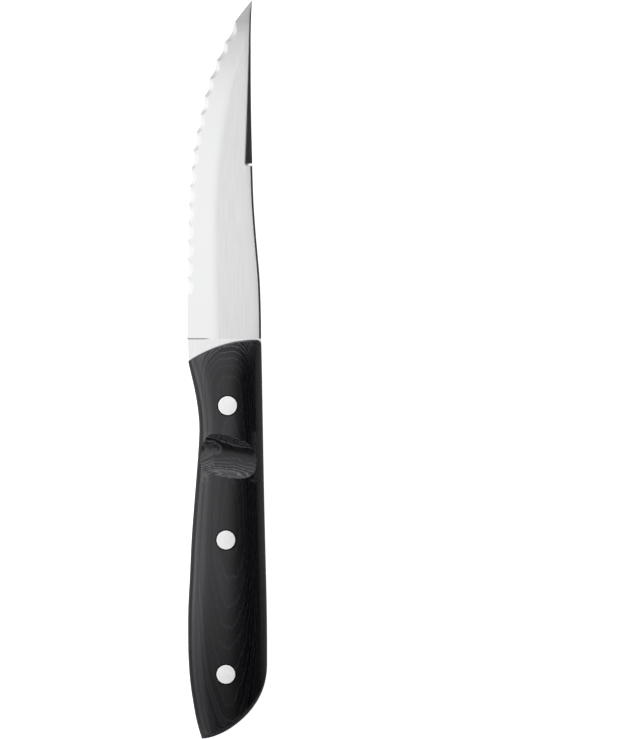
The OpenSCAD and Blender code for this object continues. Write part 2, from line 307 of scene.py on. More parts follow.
def ground_edge(y):
    """The sharp edge on the back face, and the rim of the scallop on the front face."""
    past = max(PLAIN_HEEL_L - y, y - LAST_TOOTH_Y, 0)
    turn = (y - PLAIN_HEEL_L) / TOOTH_PITCH
    k = max(0, min(math.floor(turn), TOOTH_COUNT - 1))
    a = tooth(k)
    b = tooth(k + 1)
    half = (b - a).length / 2
    off = half * (2 * (turn - k) - 1)
    sink = 0 if past > 0 else math.sqrt(WHEEL_R ** 2 - off ** 2) - math.sqrt(WHEEL_R ** 2 - half ** 2)
    drop = sink / math.cos(math.radians(WHEEL_ANGLE))
    rise = (flat_z(y) - HALF_EDGE_T) / bevel_at(y)
    fade = max(0, 1 - past / SCALLOP_FADE)
    rim = fade * (EDGE_T + drop) / (tan(WHEEL_ANGLE) - rise)
    base = Vector((edge_x(y), y)) if past > 0 else a + (b - a) * (turn - k)
    back = base + edge_normal(y) * drop / (tan(WHEEL_ANGLE) + rise)
    front = base + edge_normal(y) * min(rim, RIM_SHARE * bevel_at(y))
    return (back.x, back.y, -side_z(back.x, back.y)), (front.x, front.y, side_z(front.x, front.y))


def side_columns(start, y, count, sign):
    """Points across one side of the blade, from start to the spine, closer together near the spine."""
    wide = spine_x(y) - start[0]
    near = min(SPINE_ZONE, SPINE_ZONE_SHARE * wide)
    inward = [mix(wide, near, i / count) for i in range(1, count)]
    inward += [near * (1 - quarter(i, SPINE_COLUMNS)) for i in range(SPINE_COLUMNS + 1)]
    points = []
    for depth in inward:
        x = spine_x(y) - depth
        share = clamp((x - start[0]) / (bevel_x(y) - start[0]))
        at = mix(start[1], y, share)
        points.append((x, at, sign * side_z(x, at)))
    return points


def blade_ring(y):
    """Ring round the blade: the scallop, the front side, the spine and the back side."""
    back, front = ground_edge(y)
    scallop = [
        tuple(mix(back[n], front[n], i / SCALLOP_COLUMNS) for n in range(3))
        for i in range(SCALLOP_COLUMNS + 1)
    ]
    front_side = side_columns(front, y, FRONT_COLUMNS, 1)
    back_side = side_columns(back, y, BACK_COLUMNS, -1)
    return scallop + front_side + back_side[::-1]


def blade_stations():
    """Where the rings stand along the blade, closer together where its form changes."""
    fade_in = PLAIN_HEEL_L - SCALLOP_FADE
    fade_out = LAST_TOOTH_Y + SCALLOP_FADE
    rows = [mix(PLUNGE_GAP, fade_in, i / HEEL_ROWS) for i in range(HEEL_ROWS)]
    rows += [mix(fade_in, PLAIN_HEEL_L, i / FADE_ROWS) for i in range(FADE_ROWS)]
    steps = TOOTH_COUNT * TOOTH_ROWS
    rows += [mix(PLAIN_HEEL_L, LAST_TOOTH_Y, i / steps) for i in range(steps)]
    rows += [mix(LAST_TOOTH_Y, fade_out, i / FADE_ROWS) for i in range(FADE_ROWS)]
    rows += [mix(fade_out, BLADE_L, quarter(i, TIP_ROWS)) for i in range(TIP_ROWS + 1)]
    step_end = FALSE_EDGE_Y + FALSE_EDGE_RUN
    step = [mix(FALSE_EDGE_Y, step_end, i / STEP_ROWS) for i in range(STEP_ROWS + 1)]
    apart = FALSE_EDGE_RUN / STEP_ROWS / 2
    kept = [y for y in rows if y < FALSE_EDGE_Y - apart or y > step_end + apart]
    return sorted(kept + step)


# Handle outline and the surface of a scale

def belly_x(y):
    return WAIST_IN * curve(BELLY_SHARES, -y / HANDLE_L)


def back_x(y):
    return BLADE_W + BACK_FLARE * curve(BACK_SHARES, -y / HANDLE_L)


def front_y(share):
    if share < FRONT_FLAT_SHARE:
        return -FRONT_SWEEP * (1 - share / FRONT_FLAT_SHARE) ** 2
    past = (share - FRONT_FLAT_SHARE) / (1 - FRONT_FLAT_SHARE)
    return -FRONT_CORNER_R * (1 - math.sqrt(max(0, 1 - past ** 2)))


def butt_y(share):
    return -HANDLE_L + BUTT_SWEEP * (1 - lame(share, BUTT_POWERS))


def handle_point(along, across):
    """Point of the handle outline at a share of its length and a share of its width."""
    y = mix(front_y(across), butt_y(across), along)
    return mix(belly_x(y), back_x(y), across), y


def scale_rows():
    """Rows of a scale from its front edge to its butt, as shares of the length."""
    ends = [0]
    ends += [mix(FRONT_CHAMFER, NOSE_L, i / NOSE_ROWS) for i in range(NOSE_ROWS)]
    ends += [mix(NOSE_L, HANDLE_L - BUTT_ROUND, i / BODY_ROWS) for i in range(BODY_ROWS)]
    ends += [HANDLE_L - BUTT_ROUND * (1 - quarter(i, BUTT_ROWS)) for i in range(BUTT_ROWS + 1)]
    return [end / HANDLE_L for end in ends]


def scale_columns():
    """Columns of a scale from the cutting side to the back, as shares of the half width."""
    shoulder = [
        mix(LAND_SHARE, 1, quarter(i, SHOULDER_COLUMNS)) for i in range(SHOULDER_COLUMNS, 0, -1)
    ]
    land = [LAND_SHARE * (2 * i / LAND_COLUMNS - 1) for i in range(LAND_COLUMNS + 1)]
    return [-s for s in shoulder] + land + shoulder[::-1]


def crown_at(across):
    """The land is crowned a little, and its slope runs on over the shoulders."""
    share = abs(across) / LAND_SHARE
    return CROWN * (share ** 2 if share < 1 else 3 - 2 / share)


def scale_z(along, across):
    """Height of a scale over the steel, at a share of its length and of its half width."""
    front = along * HANDLE_L
    back = (1 - along) * HANDLE_L
    nose = NOSE_DROP * max(0, 1 - front / NOSE_L) ** NOSE_POWER
    chamfer = max(0, FRONT_CHAMFER - front)
    band = BUTT_FALL * (1 - lame(max(0, 1 - back / BUTT_ROUND), BUTT_BAND_POWERS))
    row = SCALE_T - nose - chamfer - band
    keep = lame(max(0, (abs(across) - LAND_SHARE) / (1 - LAND_SHARE)), SHOULDER_POWERS)
    return SIDE_WALL + (row - crown_at(across) - SIDE_WALL) * keep


def rivet_at(i):
    y = -RIVET_FIRST - i * RIVET_PITCH
    return Vector(((belly_x(y) + back_x(y)) / 2 - RIVET_OFF, y, 0))


# Mesh building

def mesh_from(name, shape):
    """A mesh in metres, in the frame, from a bmesh in millimetres at the knife's own zero."""
    bmesh.ops.translate(shape, verts=shape.verts, vec=TO_FRAME)
    bmesh.ops.scale(shape, verts=shape.verts, vec=(MM, MM, MM))
    mesh = bpy.data.meshes.new(name)
    shape.to_mesh(mesh)
    shape.free()
    return mesh


def piece(name, mesh, nodes, material):
    """Puts a finished mesh in the scene in place of CAD nodes, and gives it its material."""
    made = bpy.data.objects.new(name, mesh)
    bpy.context.scene.collection.objects.link(made)
    mesh.materials.clear()
    mesh.materials.append(material)
    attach(made, "root")
    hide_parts(*nodes)
    return made


def soften(mesh, sharp_angle, zones=False):
    """Shades the mesh smooth, but for its sharp edges and, if asked, the borders of its zones."""
    shape = bmesh.new()
    shape.from_mesh(mesh)
    limit = math.radians(sharp_angle)
    for face in shape.faces:
        face.smooth = True
    for edge in shape.edges:
        if len(edge.link_faces) != 2:
            continue
        border = zones and edge.link_faces[0].material_index != edge.link_faces[1].material_index
        edge.smooth = not border and edge.calc_face_angle(0) < limit
    for face in shape.faces:
        face.material_index = 0
    shape.to_mesh(mesh)
    shape.free()


def add_loft(shape, rings):
    """Closed solid through a row of rings, each with the same number of points."""
    rows = [[shape.verts.new(p) for p in ring] for ring in rings]
    count = len(rows[0])
    for a, b in zip(rows, rows[1:]):
        for i in range(count):
            j = (i + 1) % count
            shape.faces.new((a[i], b[i], b[j], a[j]))
    shape.faces.new(rows[0])
    shape.faces.new(rows[-1][::-1])


def add_plate(shape, outline, low, high):
    """Closed plate with the outline given, from one height to another."""
    foot = [shape.verts.new((x, y, low)) for x, y in outline]
    top = [shape.verts.new((x, y, high)) for x, y in outline]
    shape.faces.new(foot)
    shape.faces.new(top[::-1])
    for i in range(len(outline)):
        j = (i + 1) % len(outline)
        shape.faces.new((foot[i], top[i], top[j], foot[j]))


def add_lathe(shape, profile, centre, zone=0):
    """Solid turned about the z axis through centre, from a profile that starts and ends on the axis."""
    poles = [shape.verts.new(centre + Vector((0, 0, profile[n][1]))) for n in (0, -1)]
    angles = [2 * math.pi * i / ROUND_STEPS for i in range(ROUND_STEPS)]
    spokes = [Vector((math.cos(a), math.sin(a), 0)) for a in angles]
    rings = []
    for r, z in profile[1:-1]:
        level = centre + Vector((0, 0, z))
        rings.append([shape.verts.new(level + r * spoke) for spoke in spokes])
    for i in range(ROUND_STEPS):
        j = (i + 1) % ROUND_STEPS
        shape.faces.new((poles[0], rings[0][i], rings[0][j]))
        shape.faces.new((poles[1], rings[-1][j], rings[-1][i]))
        for a, b in zip(rings, rings[1:]):
            shape.faces.new((a[i], b[i], b[j], a[j]))
    for face in shape.faces:
        face.material_index = zone


def tang_outline():
    """Outline of the tang, which is that of the scales, and of the heel in front of them."""
    rows = scale_rows()
    shares = [(1 + s) / 2 for s in scale_columns()]
    outline = [(belly_x(0), PLUNGE_GAP)]
    outline += [handle_point(row, 0) for row in rows[1:]]
    outline += [handle_point(1, share) for share in shares[1:]]
    outline += [handle_point(row, 1) for row in rows[-2::-1]]
    return outline + [(BLADE_W, PLUNGE_GAP)]


def build_blade(material):
    shape = bmesh.new()
    rings = [blade_ring(y) for y in blade_stations()]
    hidden = [(x, y - PLUNGE_GAP / 2, z * HEEL_SHARE) for x, y, z in rings[0]]
    add_loft(shape, [hidden] + rings)
    add_plate(shape, tang_outline(), -HALF_T, HALF_T)
    bmesh.ops.recalc_face_normals(shape, faces=shape.faces)
    mesh = mesh_from("blade_ground", shape)
    soften(mesh, BLADE_CREASE)
    return piece("blade_ground", mesh, ["blade"], material)


# Zones of a scale, whose borders stay sharp
BODY, CHAMFER, BAND, FOOT, SEAT, SCOOP, SCOOP_SIDE = range(7)


def scale_shell(side):
    """The scale before it is cut: its crown, its side walls and its flat inner face."""
    rows = scale_rows()
    columns = scale_columns()
    shape = bmesh.new()
    grid = []
    for row in rows:
        line = []
        for across in columns:
            x, y = handle_point(row, (1 + across) / 2)
            line.append(shape.verts.new((x, y, side * (HALF_T + scale_z(row, across)))))
        grid.append(line)
    last_row = len(rows) - 1
    for r in range(last_row):
        for c in range(len(columns) - 1):
            face = shape.faces.new((grid[r][c], grid[r][c + 1], grid[r + 1][c + 1], grid[r + 1][c]))
            if r == 0:
                face.material_index = CHAMFER
            elif r >= last_row - BUTT_ROWS:
                face.material_index = BAND
    rim = [line[0] for line in grid]
    rim += grid[-1][1:]
    rim += [line[-1] for line in grid[-2::-1]]
    rim += grid[0][-2:0:-1]
    foot = [shape.verts.new((v.co.x, v.co.y, side * HALF_T)) for v in rim]
    for i in range(len(rim)):
        j = (i + 1) % len(rim)
        wall = shape.faces.new((rim[i], rim[j], foot[j], foot[i]))
        on_butt = last_row <= i < last_row + len(columns) - 1
        wall.material_index = BAND if on_butt else BODY
    shape.faces.new(foot).material_index = FOOT
    bmesh.ops.recalc_face_normals(shape, faces=shape.faces)
    return mesh_from("scale", shape)


def seat_cutter(side):
    """Cuts the three rivet holes with their seats."""
    shape = bmesh.new()
    hole_r = RIVET_TUBE_D / 2 + RIVET_CLEAR
    head_r = RIVET_HEAD_D / 2 + RIVET_CLEAR
    floor_z = KNIFE_T / 2 - RIVET_HEAD_T
    lip_r = head_r + SEAT_LIP
    lip_z = KNIFE_T / 2
    profile = [(0, 0), (hole_r, 0), (hole_r, floor_z), (head_r, floor_z)]
    profile += [(head_r, lip_z - SEAT_LIP), (lip_r, lip_z), (lip_r, KNIFE_T), (0, KNIFE_T)]
    for i in range(RIVET_COUNT):
        add_lathe(shape, [(r, side * z) for r, z in profile], rivet_at(i), SEAT)
    bmesh.ops.recalc_face_normals(shape, faces=shape.faces)
    return mesh_from("seats", shape)


def scoop_cutter(side, tilt, turn, inward, zone):
    """One pass of the wheel that grinds the thumb scoop."""
    mid_x = (belly_x(-SCOOP_Y) + back_x(-SCOOP_Y)) / 2
    low_z = KNIFE_T / 2 - SCOOP_DEPTH - inward * tan(SCOOP_TILT)
    main_turn = math.radians(-SCOOP_TURN)
    low_x = mid_x - inward * math.cos(main_turn)
    low_y = -SCOOP_Y - inward * math.sin(main_turn)
    lean = math.radians(tilt)
    swing = math.radians(-turn)
    axis = Vector((math.cos(lean) * math.cos(swing), math.cos(lean) * math.sin(swing), math.sin(lean)))
    along = Vector((-math.sin(swing), math.cos(swing), 0))
    up = axis.cross(along)
    centre = Vector((low_x, low_y, low_z)) + up * SCOOP_R
    shape = bmesh.new()
    ends = []
    for end in (-BLADE_W, BLADE_W):
        ring = []
        for i in range(SCOOP_STEPS):
            a = 2 * math.pi * i / SCOOP_STEPS
            place = centre + axis * end + (along * math.cos(a) + up * math.sin(a)) * SCOOP_R
            ring.append(shape.verts.new((place.x, place.y, side * place.z)))
        ends.append(ring)
    for i in range(SCOOP_STEPS):
        j = (i + 1) % SCOOP_STEPS
        shape.faces.new((ends[0][i], ends[1][i], ends[1][j], ends[0][j]))
    shape.faces.new(ends[0])
    shape.faces.new(ends[1][::-1])
    for face in shape.faces:
        face.material_index = zone
    bmesh.ops.recalc_face_normals(shape, faces=shape.faces)
    return mesh_from("scoop", shape)


def cut(mesh, cutters):
    """The mesh with the cutters taken out of it, one after another."""
    body = bpy.data.objects.new("body", mesh)
    bpy.context.scene.collection.objects.link(body)
    tools = []
    for i, cutter in enumerate(cutters):
        tool = bpy.data.objects.new(f"tool_{i}", cutter)
        bpy.context.scene.collection.objects.link(tool)
        tools.append(tool)
        step = body.modifiers.new(f"cut_{i}", "BOOLEAN")
        step.operation = "DIFFERENCE"
        step.solver = "EXACT"
        step.object = tool
    bpy.context.view_layer.update()
    result = bpy.data.meshes.new_from_object(body.evaluated_get(bpy.context.evaluated_depsgraph_get()))
    for old in [body] + tools:
        bpy.data.objects.remove(old)
    return result


def build_scale(name, node, side, material):
    zones = [material] * (SCOOP_SIDE + 1)
    shell = scale_shell(side)
    cutters = [
        seat_cutter(side),
        scoop_cutter(side, SCOOP_TILT, SCOOP_TURN, 0, SCOOP),
        scoop_cutter(side, SCOOP_SIDE_TILT, SCOOP_SIDE_TURN, SCOOP_CREASE, SCOOP_SIDE),
    ]
    for mesh in [shell] + cutters:
        for zone in zones:
            mesh.materials.append(zone)
    mesh = cut(shell, cutters)
    soften(mesh, SCALE_CREASE, zones=True)
    return piece(name, mesh, [node], material)


def head_profile(side):
    """Top of a rivet head, from its middle to its foot: a low dome with a rounded rim."""
    r = RIVET_HEAD_D / 2
    top = KNIFE_T / 2
    flat_r = r - RIVET_RIM
    shares = [quarter(i, DOME_STEPS) for i in range(DOME_STEPS + 1)]
    dome = [(flat_r * share, top - RIVET_DOME * share ** 2) for share in shares]
    turns = [math.pi / 2 * i / RIM_STEPS for i in range(1, RIM_STEPS + 1)]
    low = top - RIVET_DOME - RIVET_RIM
    rim = [(flat_r + RIVET_RIM * math.sin(a), low + RIVET_RIM * math.cos(a)) for a in turns]
    foot = [(r, top - RIVET_HEAD_T)]
    return [(x, side * z) for x, z in dome + rim + foot]


def build_rivet(i, material):
    """The hollow half with its head in the front scale, and the pin with its head in the back one."""
    head_z = KNIFE_T / 2 - RIVET_HEAD_T
    end_z = RIVET_HEAD_T + RIVET_END_GAP - KNIFE_T / 2
    tube_r = RIVET_TUBE_D / 2
    bore_r = RIVET_PIN_D / 2 + PIN_CLEAR
    pin_r = RIVET_PIN_D / 2
    tube = head_profile(1) + [(tube_r, head_z), (tube_r, end_z)]
    tube += [(bore_r, end_z), (bore_r, head_z), (0, head_z)]
    tip_z = KNIFE_T / 2 - RIVET_HEAD_T - RIVET_END_GAP
    pin = head_profile(-1) + [(pin_r, -head_z), (pin_r, tip_z), (0, tip_z)]
    halves = (("rivet_head", "rivet_tube", tube), ("rivet_back", "rivet_pin", pin))
    for name, node, profile in halves:
        shape = bmesh.new()
        add_lathe(shape, profile, rivet_at(i))
        bmesh.ops.recalc_face_normals(shape, faces=shape.faces)
        mesh = mesh_from(f"{name}_{i + 1}", shape)
        soften(mesh, RIVET_CREASE)
        piece(f"{name}_{i + 1}", mesh, [f"{node}_{i + 1}"], material)


# Materials

def put(tree, kind, inputs=None, **settings):
    """Adds a node, sets its settings, and sets or links its inputs."""
    made = tree.nodes.new(kind)
    for name, value in settings.items():
        setattr(made, name, value)
    for key, value in (inputs or {}).items():
        if isinstance(value, bpy.types.NodeSocket):
            tree.links.new(value, made.inputs[key])
        else:
            made.inputs[key].default_value = value
    return made


def calc(tree, operation, *values):
    return put(tree, "ShaderNodeMath", dict(enumerate(values)), operation=operation).outputs[0]


def join(tree, operation, values):
    """Joins any number of values by one operation."""
    joined = values[0]
    for value in values[1:]:
        joined = calc(tree, operation, joined, value)
    return joined


def between(tree, share, low, high):
    """Runs in a straight line from low to high as the share runs from 0 to 1."""
    return calc(tree, "MULTIPLY_ADD", share, high - low, low)


def step_up(tree, value, low, high, bottom=0.0, top=1.0):
    """Runs smoothly from bottom to top as the value runs from low to high."""
    inputs = {"Value": value, "From Min": low, "From Max": high, "To Min": bottom, "To Max": top}
    return put(tree, "ShaderNodeMapRange", inputs, interpolation_type="SMOOTHSTEP").outputs[0]


# Weight of each finer pass of a noise against the one before it
NOISE_ROUGHNESS = 0.55


def grain(tree, place, stretch, detail):
    """Noise from 0 to 1 with its own scale along each axis, in features per millimetre."""
    scaled = put(tree, "ShaderNodeVectorMath", {0: place, 1: stretch}, operation="MULTIPLY")
    inputs = {"Vector": scaled.outputs[0], "Scale": 1.0, "Detail": detail, "Roughness": NOISE_ROUGHNESS}
    return put(tree, "ShaderNodeTexNoise", inputs).outputs["Fac"]


def millimetres(tree):
    """Place on the object, in millimetres of the frame."""
    place = put(tree, "ShaderNodeTexCoord").outputs["Object"]
    return put(tree, "ShaderNodeVectorMath", {0: place, "Scale": 1 / MM}, operation="SCALE").outputs[0]


def split(tree, vector):
    return put(tree, "ShaderNodeSeparateXYZ", {0: vector}).outputs


def blend(tree, share, low, high):
    """Mixes two colours by a share."""
    made = put(tree, "ShaderNodeMix", data_type="RGBA")
    for key, value in ((0, share), (6, low), (7, high)):
        if isinstance(value, bpy.types.NodeSocket):
            tree.links.new(value, made.inputs[key])
        else:
            made.inputs[key].default_value = value
    return made.outputs[2]


def new_material(name):
    material = bpy.data.materials.new(name)
    material.use_nodes = True
    tree = material.node_tree
    return material, tree, tree.nodes["Principled BSDF"]


def square(tree, value, middle):
    """Square of the distance from a middle value."""
    off = calc(tree, "SUBTRACT", value, middle)
    return calc(tree, "MULTIPLY", off, off)


def bump(tree, height, distance, strength):
    inputs = {"Height": height, "Distance": distance * MM, "Strength": strength}
    return put(tree, "ShaderNodeBump", inputs).outputs[0]


# Edge wear: cosine of the turn from the plain normal to the rounded one, where it starts and is
# full, and how many rays round it
WEAR_COSINES = (0.985, 0.85)
WEAR_RAYS = 4


def worn_edges(tree, radius):
    """From 0 on open faces to 1 along sharp edges, where a rounded normal leaves the plain one."""
    rounded = put(tree, "ShaderNodeBevel", {"Radius": radius * MM}, samples=WEAR_RAYS).outputs[0]
    facing = put(tree, "ShaderNodeNewGeometry").outputs["Normal"]
    both = put(tree, "ShaderNodeVectorMath", {0: rounded, 1: facing}, operation="DOT_PRODUCT")
    return step_up(tree, both.outputs["Value"], *WEAR_COSINES)


# Steel: base colours
STEEL_LIGHT = (0.84, 0.842, 0.846, 1)
STEEL_DARK = (0.8, 0.802, 0.806, 1)
STEEL_HEEL = (0.92, 0.922, 0.926, 1)
STEEL_SCALLOP = (0.54, 0.542, 0.546, 1)
STEEL_WORN = (0.9, 0.902, 0.906, 1)
# Painted shade for the plunge's corner
STEEL_PAINTED_SHADE = (0.2, 0.2, 0.2, 1)
# Steel: grinding lines and clouds, in features per millimetre along x, y and z, and the detail
LENGTHWISE = ((3.2, 0.09, 3.2), 4.0)
CROSSWISE = ((0.12, 3.4, 0.12), 4.0)
STEEL_CLOUD = ((0.05, 0.03, 0.05), 2.0)
STEEL_LINE_SHARE = 0.6
# Steel: x of the normal where the bevel and the scallops start and where they are full
BEVEL_FACING = (-0.02, -0.07)
SCALLOP_FACING = (-0.22, -0.3)
# Steel: how sharply the heel ends at the plunge, and how far the line of painted shade in the plunge's
# corner reaches to each side and runs in from the edge
HEEL_BLUR = 0.05
PLUNGE_SHADE_REACH = (0.3, 0.08)
PLUNGE_SHADE_RUN = (8, 5)
# Steel: range of the lines from the finest to the coarsest, roughness there, and depth
GRIND_RANGE = (0.25, 0.75)
GRIND_ROUGHNESS = (0.2, 0.25)
GRIND_DEPTH = 0.0008
GRIND_STRENGTH = 0.5
# Steel: radius of the worn edges, how much they show, and how much smoother they are
STEEL_WEAR_R = 0.15
STEEL_WEAR = 0.6
STEEL_WEAR_POLISH = 0.05


def painted_plunge_shade(tree, x, y):
    """Painted shade: a dark line in the corner where the grinding wheel was plunged, fading out from
    the edge.
    """
    off = calc(tree, "ABSOLUTE", calc(tree, "SUBTRACT", y, TO_FRAME.y + PLUNGE_GAP))
    starts = [TO_FRAME.x + across for across in PLUNGE_SHADE_RUN]
    return calc(tree, "MULTIPLY", step_up(tree, off, *PLUNGE_SHADE_REACH), step_up(tree, x, *starts))


def ground_steel():
    """Satin steel: ground along the knife on the flats, and across it on bevels and scallops."""
    material, tree, shader = new_material("ground_steel")
    place = millimetres(tree)
    x, y = split(tree, place)[:2]
    facing = split(tree, put(tree, "ShaderNodeNewGeometry").outputs["Normal"])
    ground = step_up(tree, facing[0], *BEVEL_FACING)
    along = grain(tree, place, *LENGTHWISE)
    across = grain(tree, place, *CROSSWISE)
    lines = put(tree, "ShaderNodeMix", {0: ground, 2: along, 3: across}).outputs[0]
    cloud = calc(tree, "MULTIPLY", grain(tree, place, *STEEL_CLOUD), 1 - STEEL_LINE_SHARE)
    tone = calc(tree, "MULTIPLY_ADD", lines, STEEL_LINE_SHARE, cloud)
    colour = blend(tree, tone, STEEL_DARK, STEEL_LIGHT)
    plunge_y = TO_FRAME.y + PLUNGE_GAP
    heel = step_up(tree, y, plunge_y + HEEL_BLUR, plunge_y - HEEL_BLUR)
    colour = blend(tree, heel, colour, STEEL_HEEL)
    # Paints shade into the corner at the plunge
    colour = blend(tree, painted_plunge_shade(tree, x, y), colour, STEEL_PAINTED_SHADE)
    colour = blend(tree, step_up(tree, facing[0], *SCALLOP_FACING), colour, STEEL_SCALLOP)
    worn = calc(tree, "MULTIPLY", worn_edges(tree, STEEL_WEAR_R), STEEL_WEAR)
    tree.links.new(blend(tree, worn, colour, STEEL_WORN), shader.inputs["Base Color"])
    rough = step_up(tree, lines, *GRIND_RANGE, *GRIND_ROUGHNESS)
    rough = calc(tree, "MULTIPLY_ADD", worn, -STEEL_WEAR_POLISH, rough)
    tree.links.new(rough, shader.inputs["Roughness"])
    tree.links.new(bump(tree, lines, GRIND_DEPTH, GRIND_STRENGTH), shader.inputs["Normal"])
    shader.inputs["Metallic"].default_value = 1.0
    return material


# Rivet steel: base colours, how far the bright rim runs in, which is rubbed steel and a painted
# highlight, scratches and clouds, and the roughness of the darkest and lightest spots
RIVET_LIGHT = (0.94, 0.94, 0.945, 1)
RIVET_DARK = (0.89, 0.89, 0.895, 1)
RIVET_RUBBED_HIGHLIGHT = (0.99, 0.99, 0.995, 1)
RIVET_HIGHLIGHT_R = 0.8
RIVET_SCRATCHES = ((0.9, 5.0, 0.9), 3.0)
RIVET_CLOUD = ((0.5, 0.5, 0.5), 2.0)
RIVET_SCRATCH_SHARE = 0.5
RIVET_RANGE = (0.3, 0.7)
RIVET_ROUGHNESS = (0.15, 0.18)
RIVET_DEPTH = 0.0003
RIVET_STRENGTH = 0.4


def rivet_steel():
    """Rivet steel: rubbed flush with the wood, with fine scratches and a bright rim that is partly
    rubbed and partly a painted highlight.
    """
    material, tree, shader = new_material("rivet_steel")
    place = millimetres(tree)
    scratches = grain(tree, place, *RIVET_SCRATCHES)
    cloud = calc(tree, "MULTIPLY", grain(tree, place, *RIVET_CLOUD), 1 - RIVET_SCRATCH_SHARE)
    tone = calc(tree, "MULTIPLY_ADD", scratches, RIVET_SCRATCH_SHARE, cloud)
    colour = blend(tree, tone, RIVET_DARK, RIVET_LIGHT)
    # Bright rim: rubbed steel and a painted highlight
    colour = blend(tree, worn_edges(tree, RIVET_HIGHLIGHT_R), colour, RIVET_RUBBED_HIGHLIGHT)
    tree.links.new(colour, shader.inputs["Base Color"])
    rough = step_up(tree, tone, *RIVET_RANGE, *RIVET_ROUGHNESS)
    tree.links.new(rough, shader.inputs["Roughness"])
    tree.links.new(bump(tree, scratches, RIVET_DEPTH, RIVET_STRENGTH), shader.inputs["Normal"])
    shader.inputs["Metallic"].default_value = 1.0
    return material


# Laminated wood: thickness of a veneer, and how the veneers wave, ripple, bow along the handle
# from one place on it, and cup across it
VENEER = 0.33
WAVE = 2.2
WAVE_GRAIN = ((0.06, 0.022, 0.05), 1.0)
RIPPLE = 0.3
RIPPLE_GRAIN = ((0.35, 0.12, 0.35), 3.0)
BOW = 0.0005
BOW_Y = -42
CUP = 0.011
# In the thumb scoop: distance from its middle and height over the middle of the steel where its
# grain starts and is full, the ripple and the cup there, how the veneers lean, and their slant
IN_SCOOP_REACH = (9.0, 7.5)
IN_SCOOP_HEIGHT = (7.3, 6.5)
IN_SCOOP_RIPPLE = 0.4
IN_SCOOP_CUP = 0.0022
IN_SCOOP_LEAN = 0.11
IN_SCOOP_SLANT = 0.66
# Where the veneers are cut across, by the normal: from the start of a range to its end, and from
# nothing to how far they are cut there. Slopes turned to the butt get less than slopes turned to the
# blade: the fibres and lines are real, but that difference is painted light and shade
CUT_LIT_TO_BLADE = (0.04, 0.22, 0.0, 1.0)
CUT_SHADED_TO_BUTT = (-0.05, -0.3, 0.0, 0.6)
CUT_ON_FLOOR = (0.72, 0.88, 0.0, 0.5)
# Glue lines: the share of a veneer from one to its middle, how far they fade out to each side on
# flats and on slopes, how much they show uncut and cut, and what is left of them at the pores
VENEER_MIDDLE = 0.5
LINE_FLATNESS = (0.999, 0.94)
LINE_WIDTH = (0.13, 0.36)
LINE_SHOWN = (0.09, 0.9)
LINE_BREAKS = (0.35, 0.6, 0.3, 1.0)
# Fibres where veneers are cut across, pale veneers, specks, and worn edges, which also paint a thin
# highlight along the creases
FIBRE_GRAIN = ((2.2, 3.0, 2.2), 3.0)
FIBRE_RANGE = (0.44, 0.62)
FIBRES_OUT_OF_SCOOP = 0.15
PALE_VENEERS = (0.4, 0.75, 0.1, 0.6)
SPECK_GRAIN = ((3.4, 1.1, 3.4), 1.0)
SPECK_RANGE = (0.66, 0.76, 0.0, 0.12)
WOOD_WEAR_AND_HIGHLIGHT_R = 0.3
WOOD_WEAR_AND_HIGHLIGHT = (0.3, 0.6, 0.05, 0.3)
# Painted shade: the dark ring round a rivet, in the gap between it and the wood: distance from its
# middle where it is full and where it ends, and the share of the polish that is left in it
SHADE_RING = (3.25, 3.5)
SHADE_RING_POLISH = 0.2
# Tones, and how much the veneers and the pores change them
WOOD_DARK = (0.0008, 0.0008, 0.0011, 1)
WOOD_PALE = (0.005, 0.0048, 0.0062, 1)
WOOD_LINE = (0.15, 0.144, 0.165, 1)
PORE_GRAIN = ((2.6, 0.5, 2.6), 3.0)
VENEER_TONE = 0.6
PORE_TONE = 0.5
# Gloss: roughness of the polished wood, what pores and marks add to it, their relief, the polish at the
# butt and in front of it, which dims the gloss towards the butt both as a duller finish and as painted
# shade, how it varies between veneers, its index and its tint
WOOD_ROUGHNESS = 0.17
PORE_ROUGHNESS = 0.12
MARK_ROUGHNESS = 0.12
PORE_RELIEF = 0.6
MARK_RELIEF = 0.4
WOOD_RELIEF = 0.012
WOOD_RELIEF_STRENGTH = 0.3
POLISH_AND_SHADE = (0.2, 0.5)
POLISH_AND_SHADE_FADE = (-112, -58)
VENEER_POLISH = (0.88, 1.12)
WOOD_IOR = 1.56
WOOD_SHEEN = (0.97, 0.965, 1, 1)


def in_scoop(tree, y, height):
    """1 in the thumb scoop, 0 outside it."""
    off = calc(tree, "ABSOLUTE", calc(tree, "SUBTRACT", y, TO_FRAME.y - SCOOP_Y))
    near = step_up(tree, off, *IN_SCOOP_REACH)
    return calc(tree, "MULTIPLY", near, step_up(tree, height, *IN_SCOOP_HEIGHT))


def veneers_under(tree, place, height, scooped):
    """How many veneers lie under a place. The whole part numbers the veneer that shows there."""
    x, y = split(tree, place)[:2]
    bow = calc(tree, "MULTIPLY", square(tree, y, BOW_Y), BOW)
    cup = calc(tree, "MULTIPLY", square(tree, x, 0), between(tree, scooped, CUP, IN_SCOOP_CUP))
    arch = calc(tree, "SUBTRACT", height, calc(tree, "ADD", bow, cup))
    wave = calc(tree, "MULTIPLY", grain(tree, place, *WAVE_GRAIN), WAVE)
    ripple = between(tree, scooped, RIPPLE, IN_SCOOP_RIPPLE)
    ripple = calc(tree, "MULTIPLY", grain(tree, place, *RIPPLE_GRAIN), ripple)
    back = calc(tree, "SUBTRACT", TO_FRAME.y - SCOOP_Y, y)
    lean = calc(tree, "MULTIPLY_ADD", x, -IN_SCOOP_SLANT, back)
    lean = join(tree, "MULTIPLY", [scooped, lean, IN_SCOOP_LEAN])
    return calc(tree, "DIVIDE", join(tree, "ADD", [arch, wave, ripple, lean]), VENEER)


